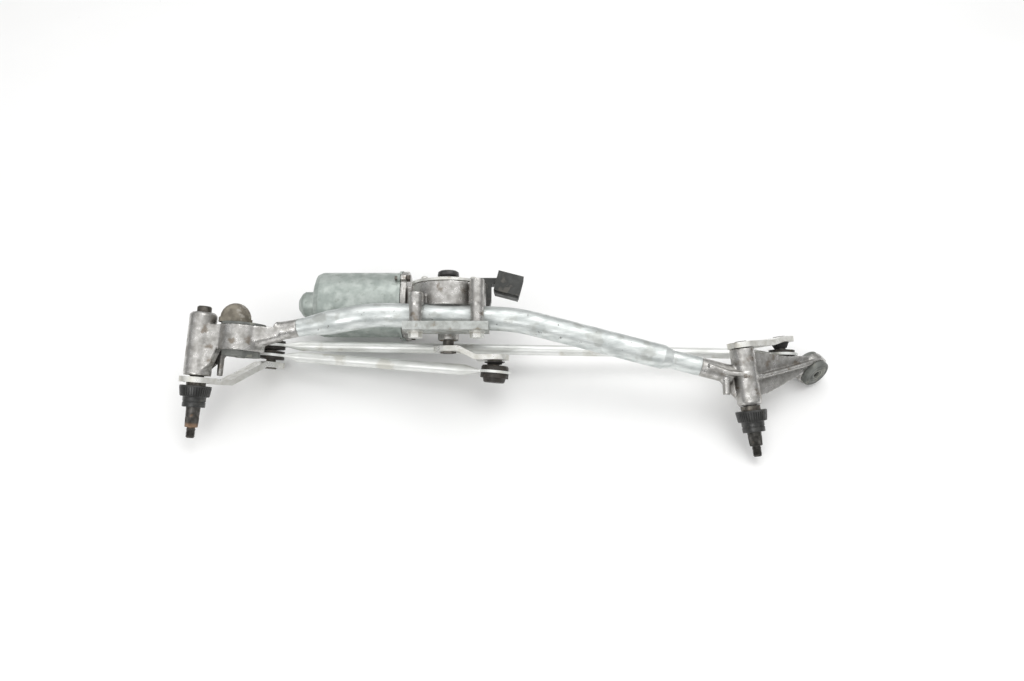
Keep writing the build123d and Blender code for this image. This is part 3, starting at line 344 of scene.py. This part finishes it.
def turned_skin(name, axes, height, radius, closed_loop=False):
    """A skin turned about an axis: height is a row of places along it, and radius a grid of places by angles.
    A point is the origin, plus height along the axis, plus radius in the direction of its angle.
    The ends close in a pole each, or the profile closes on itself when it is a loop."""
    origin, along, sideways, third = axes
    rows, steps = radius.shape
    turn = np.linspace(0, 2 * math.pi, steps, endpoint=False)
    outward = np.cos(turn)[:, None] * sideways + np.sin(turn)[:, None] * third
    grid = origin + height[:, None, None] * along + radius[:, :, None] * outward[None]
    points = grid.reshape(-1, 3)
    last = rows if closed_loop else rows - 1
    row, step = np.meshgrid(np.arange(last), np.arange(steps), indexing="ij")
    above, beside = (row + 1) % rows, (step + 1) % steps
    quads = np.stack([row * steps + step, row * steps + beside, above * steps + beside, above * steps + step], -1)
    faces = quads.reshape(-1, 4).tolist()
    if not closed_loop:
        points = np.vstack([points, origin + height[0] * along, origin + height[-1] * along])
        ring = np.arange(steps)
        lower, upper = rows * steps, rows * steps + 1
        faces += np.stack([np.roll(ring, -1), ring, np.full(steps, lower)], 1).tolist()
        top = ring + (rows - 1) * steps
        faces += np.stack([top, np.roll(top, -1), np.full(steps, upper)], 1).tolist()
    mesh = bpy.data.meshes.new(name)
    mesh.from_pydata(points.tolist(), [], faces)
    mesh.shade_smooth()
    mesh.set_sharp_from_angle(angle=SHARP_ANGLE)
    piece = bpy.data.objects.new(name, mesh)
    bpy.context.scene.collection.objects.link(piece)
    return piece


def worked_spindle(side):
    """The journal, taper, thread relief and thread. The knurl adds a rounded wave of the angle, and the thread takes
    off a wave of height over pitch less angle over a full turn. Both fade in and out over their runs."""
    back, taper, tip = SPINDLES[side]
    thread = tip - THREAD_LENGTH
    relief_r = THREAD_R - RELIEF_DEPTH
    corners = [(back, JOURNAL_R - CHAMFER), (back + CHAMFER, JOURNAL_R), (taper + 0.5 * MM, JOURNAL_R),
               (thread - 0.4 * MM, TAPER_END_R), (thread, relief_r), (thread + 0.8 * MM, relief_r),
               (thread + RELIEF_LENGTH, THREAD_R), (tip - CHAMFER, THREAD_R), (tip, THREAD_R - CHAMFER)]
    corners_h, corners_r = zip(*corners)
    height = np.unique(np.concatenate([corners_h, np.linspace(taper, thread, TAPER_ROWS),
                                       np.linspace(thread, tip, THREAD_ROWS)]))
    turn = np.linspace(0, 2 * math.pi, SPINDLE_STEPS, endpoint=False)[None]
    radius = np.interp(height, corners_h, corners_r)[:, None] + 0 * turn
    knurl_start, knurl_end = thread - 0.8 * MM - KNURL_LENGTH, thread - 0.6 * MM
    knurled = np.clip((height - knurl_start) / KNURL_FADE, 0, 1) * np.clip((knurl_end - height) / KNURL_FADE, 0, 1)
    radius += knurled[:, None] * KNURL_DEPTH * (np.abs(np.cos(KNURL_TEETH * turn / 2)) - KNURL_LOW)
    thread_start, thread_end = thread + RELIEF_LENGTH, tip + 0.2 * MM
    threaded = np.clip((height - thread_start) / MM, 0, 1) * np.clip((thread_end - height) / MM, 0, 1)
    phase = height[:, None] / THREAD_PITCH - turn / (2 * math.pi)
    radius -= threaded[:, None] * THREAD_DEPTH * np.abs(2 * (phase - np.floor(phase)) - 1)
    return turned_skin(f"{side}_worked_spindle", swing_axes(side), height, radius)


RUST = (0.27, 0.18, 0.12)
RUST_BAND = 3.5 * MM        # the rusty end of the left taper
RUST_REACH = 0.6 * RUST_BAND
RUST_PEAK = 1.4             # over 1, so that the middle of the band is fully rusty


def rust_band(spindle, side):
    """Writes how rusty each vertex is: 1 in the band before the thread, falling off smoothly on both sides."""
    origin, along, _, _ = swing_axes(side)
    place = np.empty(len(spindle.data.vertices) * 3)
    spindle.data.vertices.foreach_get("co", place)
    height = (place.reshape(-1, 3) - origin) @ along
    middle = SPINDLES[side][2] - THREAD_LENGTH - RUST_BAND / 2
    share = np.clip(RUST_PEAK - np.abs(height - middle) / RUST_REACH, 0, 1)
    spindle.data.attributes.new("rust", "FLOAT", "POINT").data.foreach_set("value", share.astype(np.float32))


spindle_black = finish("spindle_black", (0.085, 0.082, 0.075), (0.04, 0.038, 0.034), 0.004, (0.28, 0.45), 0.0007,
                       0.00006, metal=0.7, stain=((0.13, 0.10, 0.07), 0.006, 0.64, 0.4))
spindle_worn = finish("spindle_worn", (0.10, 0.095, 0.088), (0.05, 0.046, 0.04), 0.004, (0.32, 0.5), 0.0007, 0.00009,
                      metal=0.6, stain=((0.16, 0.10, 0.06), 0.005, 0.60, 0.6), band=(RUST, "rust"))
for side, coat in (("left", spindle_worn), ("right", spindle_black)):
    spindle = worked_spindle(side)
    if coat is spindle_worn:
        rust_band(spindle, side)
    spindle.data.materials.append(coat)
    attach(spindle, f"{side}_spindle")
    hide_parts(f"{side}_spindle")

# ---- right mount's rubber ----------------------------------------------------------------------------------
# One moulding pushed through the outer ear: a round face with two moulded rings, a waist and a wider flange behind.
# Its spacer runs through the middle.
FACE_R = 13.8 * MM
REAR_R = 14.2 * MM
WAIST_R = 10.47 * MM
GROMMET_BORE_R = 4.63 * MM
FACE_AHEAD = 9.3 * MM       # the face's plane ahead of the mount's middle
FACE_BACK = -4.97 * MM      # these three are measured from the face's plane
REAR_FRONT = -14.03 * MM
REAR_BACK = -18.03 * MM
FACE_EDGE = 1.4 * MM        # width of the face's rounded edge
FACE_GROOVES = [(11.0 * MM, 0.7 * MM, 0.45 * MM), (7.0 * MM, 0.9 * MM, 0.5 * MM)]    # radius, half width, depth
FACE_ROWS = 40
GROMMET_STEPS = 96


def moulded_grommet(name, mount):
    """A loop profile of rear flange, waist and face, turned about the mount's axis. Two shallow grooves in the face
    are half waves of the radius."""
    middle, *directions = axes_from(mount["pos_m"], mount["axis"])
    axes = (middle + FACE_AHEAD * directions[0], *directions)
    side = np.array([(REAR_BACK, GROMMET_BORE_R), (REAR_BACK, REAR_R - 0.6 * MM), (REAR_BACK + 0.63 * MM, REAR_R),
                     (REAR_FRONT - 0.57 * MM, REAR_R), (REAR_FRONT, REAR_R - 0.6 * MM), (REAR_FRONT, WAIST_R),
                     (FACE_BACK, WAIST_R), (FACE_BACK, FACE_R - 0.5 * MM), (FACE_BACK + 0.57 * MM, FACE_R),
                     (-1.5 * MM, FACE_R), (-0.7 * MM, FACE_R - 0.3 * MM), (-0.2 * MM, FACE_R - 0.9 * MM)])
    face_r = np.linspace(FACE_R - FACE_EDGE, GROMMET_BORE_R, FACE_ROWS)
    face_h = np.zeros(FACE_ROWS)
    for groove_r, half_width, depth in FACE_GROOVES:
        face_h -= depth * np.cos(np.clip((face_r - groove_r) / half_width, -1, 1) * math.pi / 2)
    height = np.concatenate([side[:, 0], face_h])
    radius = np.concatenate([side[:, 1], face_r])[:, None] + np.zeros((1, GROMMET_STEPS))
    return turned_skin(name, axes, height, radius, closed_loop=True)


mounts = {m["name"]: m for m in frame["record"]["mounts"]}
right_grommet = moulded_grommet("right_moulded_grommet", mounts["right_mount_bore"])
right_grommet.data.materials.append(mount_rubber)
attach(right_grommet, "frame")
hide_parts("right_mount_grommet")

# ---- splash caps -------------------------------------------------------------------------------------------
# Black moulded plastic pushed onto the spindles over the bosses: a ring with fine ribs, and a narrower collar with a
# shallow groove.
CAP_RIBS = 40
CAP_RIB_DEPTH = 0.55 * MM
CAP_BORE_R = 6.2 * MM
CAP_RING_R = 13.75 * MM
CAP_RING_FRONT_R = 12.7 * MM
CAP_COLLAR_R = 10.0 * MM
CAP_RING_LENGTH = 9.9 * MM
CAP_COLLAR_LENGTH = 9.4 * MM
CAP_BACK = {"left": 9.2 * MM, "right": 31.6 * MM}       # along the axis towards the arm, from the joint's place
CAP_SOFT = 0.6 * MM         # how far its edges are rounded
CAP_RIM = 1.7 * MM          # the plain rim behind the ribs
COLLAR_FRONT_R = CAP_COLLAR_R - 0.1 * MM
COLLAR_GROOVE_R = CAP_COLLAR_R - 0.5 * MM
COLLAR_GROOVE = (4.0 * MM, 5.3 * MM)    # its ends, from the ring's front
GROOVE_SLOPE = 0.3 * MM
STEPS_PER_RIB = 8
RIB_WAVE = (1.5, 0.1)       # steepness of a groove's sides, and how much of the wave stays ungrooved


def ribbed_cap(side):
    """A loop profile of bore, back face, ribbed ring, step and grooved collar. On the ring a rounded wave of the
    angle takes the grooves out of the radius."""
    back = CAP_BACK[side]
    ring_top, top = back + CAP_RING_LENGTH, back + CAP_RING_LENGTH + CAP_COLLAR_LENGTH
    groove_back, groove_front = (ring_top + place for place in COLLAR_GROOVE)
    ring = [(back, CAP_BORE_R), (back, CAP_RING_R - CAP_SOFT), (back + 0.2 * MM, CAP_RING_R - 0.2 * MM),
            (back + CAP_SOFT, CAP_RING_R), (back + CAP_RIM - 0.1 * MM, CAP_RING_R), (back + CAP_RIM, CAP_RING_R),
            (ring_top - 1.0 * MM, CAP_RING_FRONT_R), (ring_top - 0.3 * MM, CAP_RING_FRONT_R - 0.3 * MM),
            (ring_top, CAP_RING_FRONT_R - 1.0 * MM)]
    collar = [(ring_top, CAP_COLLAR_R + CAP_SOFT), (ring_top + 0.2 * MM, CAP_COLLAR_R + 0.2 * MM),
              (ring_top + CAP_SOFT, CAP_COLLAR_R), (groove_back, COLLAR_FRONT_R),
              (groove_back + GROOVE_SLOPE, COLLAR_GROOVE_R), (groove_front - GROOVE_SLOPE, COLLAR_GROOVE_R),
              (groove_front, COLLAR_FRONT_R), (top - CAP_SOFT, COLLAR_FRONT_R),
              (top - 0.15 * MM, CAP_COLLAR_R - 0.3 * MM), (top, CAP_COLLAR_R - 0.8 * MM), (top, CAP_BORE_R)]
    height, radius = np.array(ring + collar).T
    turn = np.linspace(0, 2 * math.pi, CAP_RIBS * STEPS_PER_RIB, endpoint=False)[None]
    radius = radius[:, None] + 0 * turn
    ribbed = ((height >= back + CAP_RIM) & (height < ring_top)).astype(float)
    steepness, flat = RIB_WAVE
    groove = np.clip(steepness * np.cos(CAP_RIBS * turn) - flat, 0, 1)
    radius -= ribbed[:, None] * CAP_RIB_DEPTH * groove
    return turned_skin(f"{side}_ribbed_cap", swing_axes(side), height, radius, closed_loop=True)


# The black plastic gets painted shade, darker still, in its corners, from ambient occlusion.
cap_black = finish("cap_black", (0.040, 0.040, 0.038), (0.022, 0.022, 0.021), 0.006, (0.28, 0.42), 0.0009, 0.00005,
                   stain=((0.10, 0.095, 0.08), 0.008, 0.62, 0.5), corner_shade=((0.005, 0.005, 0.005), 0.002, 0.7))
for side in ("left", "right"):
    cap = ribbed_cap(side)
    cap.data.materials.append(cap_black)
    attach(cap, f"{side}_spindle")
    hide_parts(f"{side}_splash_cap")

# ---- levers and washers ------------------------------------------------------------------------------------
# Joggled levers stamped from 5 mm plate, zinc plated, pressed onto the spindles and riveted to their ball studs.
dress(plated_steel, "left_lever", "right_lever")
dress(oiled_steel, "left_retaining_washer", "right_retaining_washer", "left_lever_ball_stud", "right_lever_ball_stud")

# ---- links -------------------------------------------------------------------------------------------------
# Zinc-plated steel tube, pressed flat at both ends round moulded ball sockets that snap over the studs.
link_zinc = finish("link_zinc", (0.86, 0.87, 0.85), (0.70, 0.71, 0.68), 0.009, (0.34, 0.48), 0.0012, 0.00004,
                   metal=0.45, stretch=(0.35, 1, 1), stain=((0.52, 0.50, 0.43), 0.022, 0.60, 0.5),
                   fleck=((0.20, 0.16, 0.10), 0.0024, 0.71, 0.7))
socket_black = finish("socket_black", (0.035, 0.030, 0.024), (0.018, 0.015, 0.012), 0.006, (0.35, 0.55), 0.0009,
                      0.00006, stain=((0.11, 0.085, 0.06), 0.006, 0.60, 0.6))
dress(link_zinc, "drive_link_rod", "long_link_rod")
dress(socket_black, "drive_link_lever_socket", "drive_link_crank_socket", "long_link_left_socket",
      "long_link_right_socket")

# ---- crank -------------------------------------------------------------------------------------------------
# A joggled plate like the levers, held on the output shaft's serrations by a nut, with a ball stud under a boot.
boot_rubber = finish("boot_rubber", (0.045, 0.043, 0.040), (0.022, 0.021, 0.020), 0.005, (0.5, 0.7), 0.0009, 0.00008,
                     stain=((0.12, 0.10, 0.08), 0.006, 0.60, 0.5))
dress(plated_steel, "motor_crank")
dress(oiled_steel, "crank_nut", "crank_ball_stud", "output_shaft")
dress(boot_rubber, "crank_ball_boot", "right_stud_boot")

# ---- motor -------------------------------------------------------------------------------------------------
# The yoke is a deep-drawn steel can with a matt zinc coat gone blotchy, crimped and screwed to the gear case.
yoke_zinc = finish("yoke_zinc", (0.47, 0.51, 0.48), (0.33, 0.37, 0.345), 0.009, (0.40, 0.55), 0.0010, 0.00008,
                   metal=0.45, stain=((0.25, 0.28, 0.25), 0.007, 0.58, 0.55),
                   fleck=((0.30, 0.20, 0.12), 0.0035, 0.71, 0.6))
magnet_grey = finish("magnet_grey", (0.12, 0.12, 0.13), (0.08, 0.08, 0.09), 0.004, (0.5, 0.7), 0.0008, 0.00008)
copper_red = finish("copper_red", (0.66, 0.34, 0.20), (0.48, 0.24, 0.14), 0.003, (0.25, 0.4), 0.0005, 0.00003,
                    metal=0.9)
wheel_white = finish("wheel_white", (0.76, 0.75, 0.68), (0.66, 0.64, 0.56), 0.008, (0.4, 0.55), 0.0010, 0.00003,
                     stain=((0.45, 0.40, 0.28), 0.012, 0.60, 0.5))
dress(yoke_zinc, "motor_yoke")
dress(oiled_steel, "yoke_screws", "armature_shaft", "armature_core")
dress(magnet_grey, "magnets", "brushes")
dress(bush_bronze, "rear_bearing", "output_shaft_bush")
dress(copper_red, "commutator")
dress(wheel_white, "worm_wheel")
dress(cap_black, "brush_holder", "cover_plug")

# ---- gear case ---------------------------------------------------------------------------------------------
# Die-cast aluminium like the housings, closed by a stamped zinc-plated cover with screws and a black plug.
case_skin = cast_skin("cast_gear_case", "gear_case")
case_skin.data.materials.append(cast_grey)
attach(case_skin, "frame")
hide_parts("gear_case")
dress(plated_steel, "gear_case_cover", "cover_screws")

# ---- motor bracket -----------------------------------------------------------------------------------------
# A folded plate welded to the tube, and two bolts with flanged heads that hold the gear case to it.
# The bracket gets painted shade, dark brown, in its corners, from ambient occlusion.
bracket_zinc = finish("bracket_zinc", (0.52, 0.54, 0.52), (0.34, 0.35, 0.33), 0.006, (0.32, 0.5), 0.0010, 0.00010,
                      metal=0.7, stain=((0.20, 0.17, 0.12), 0.008, 0.56, 0.7),
                      corner_shade=((0.10, 0.08, 0.055), 0.006, 0.85), fleck=((0.08, 0.07, 0.06), 0.0026, 0.68, 0.8))
dress(bracket_zinc, "motor_bracket")
dress(plated_steel, "motor_bolts")

# ---- connector ---------------------------------------------------------------------------------------------
# A dark grey moulded plug housing on an arm from the brush holder, with tinned brass pins inside.
connector_grey = finish("connector_grey", (0.060, 0.062, 0.058), (0.035, 0.036, 0.034), 0.008, (0.42, 0.6), 0.0009,
                        0.00006, stain=((0.16, 0.15, 0.13), 0.008, 0.60, 0.5))
pin_brass = finish("pin_brass", (0.62, 0.50, 0.28), (0.50, 0.40, 0.22), 0.003, (0.25, 0.4), 0.0006, 0.00003,
                   metal=0.9)
dress(connector_grey, "connector_arm", "connector_housing")
dress(pin_brass, "connector_terminals")
